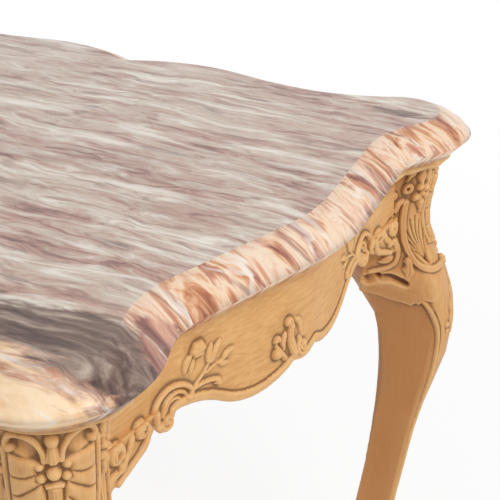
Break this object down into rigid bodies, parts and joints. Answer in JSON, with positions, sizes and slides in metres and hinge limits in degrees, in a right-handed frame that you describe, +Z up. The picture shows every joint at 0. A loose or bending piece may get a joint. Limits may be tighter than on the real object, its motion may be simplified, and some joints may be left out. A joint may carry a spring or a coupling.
{
  "type": "pier table",
  "caption": "Table with a thick serpentine marble slab resting on a carved wooden frame of scalloped rails and cabriole legs set on the diagonals",
  "frame": {"origin": "on the floor, midway between the four feet", "axes": "X along the long sides with the pictured end at +X, Y across with the pictured near corner at -Y, Z up"},
  "size_m": [0.922, 0.747, 0.768],
  "materials": {
    "marble": "polished",
    "carved_wood": "waxed and glazed",
    "inner_wood": "sawn"
  },
  "bodies": {
    "frame": {"leg_front_left": "carved_wood", "leg_front_right": "carved_wood", "leg_rear_left": "carved_wood", "leg_rear_right": "carved_wood", "rail_end_left": "carved_wood", "rail_end_right": "carved_wood", "rail_side_front": "carved_wood", "rail_side_rear": "carved_wood", "knee_bracket_end_front_left": "carved_wood", "knee_bracket_end_front_right": "carved_wood", "knee_bracket_end_rear_left": "carved_wood", "knee_bracket_end_rear_right": "carved_wood", "knee_bracket_side_front_left": "carved_wood", "knee_bracket_side_front_right": "carved_wood", "knee_bracket_side_rear_left": "carved_wood", "knee_bracket_side_rear_right": "carved_wood", "corner_block_front_left": "inner_wood", "corner_block_front_right": "inner_wood", "corner_block_rear_left": "inner_wood", "corner_block_rear_right": "inner_wood", "cross_bearer_left": "inner_wood", "cross_bearer_right": "inner_wood"},
    "top": {"marble_top": "marble"}
  },
  "joints": [
    {"name": "top_lift", "type": "slide", "parent": "frame", "child": "top", "axis": [0, 0, 1], "range_m": [0, 0.12]}
  ]
}
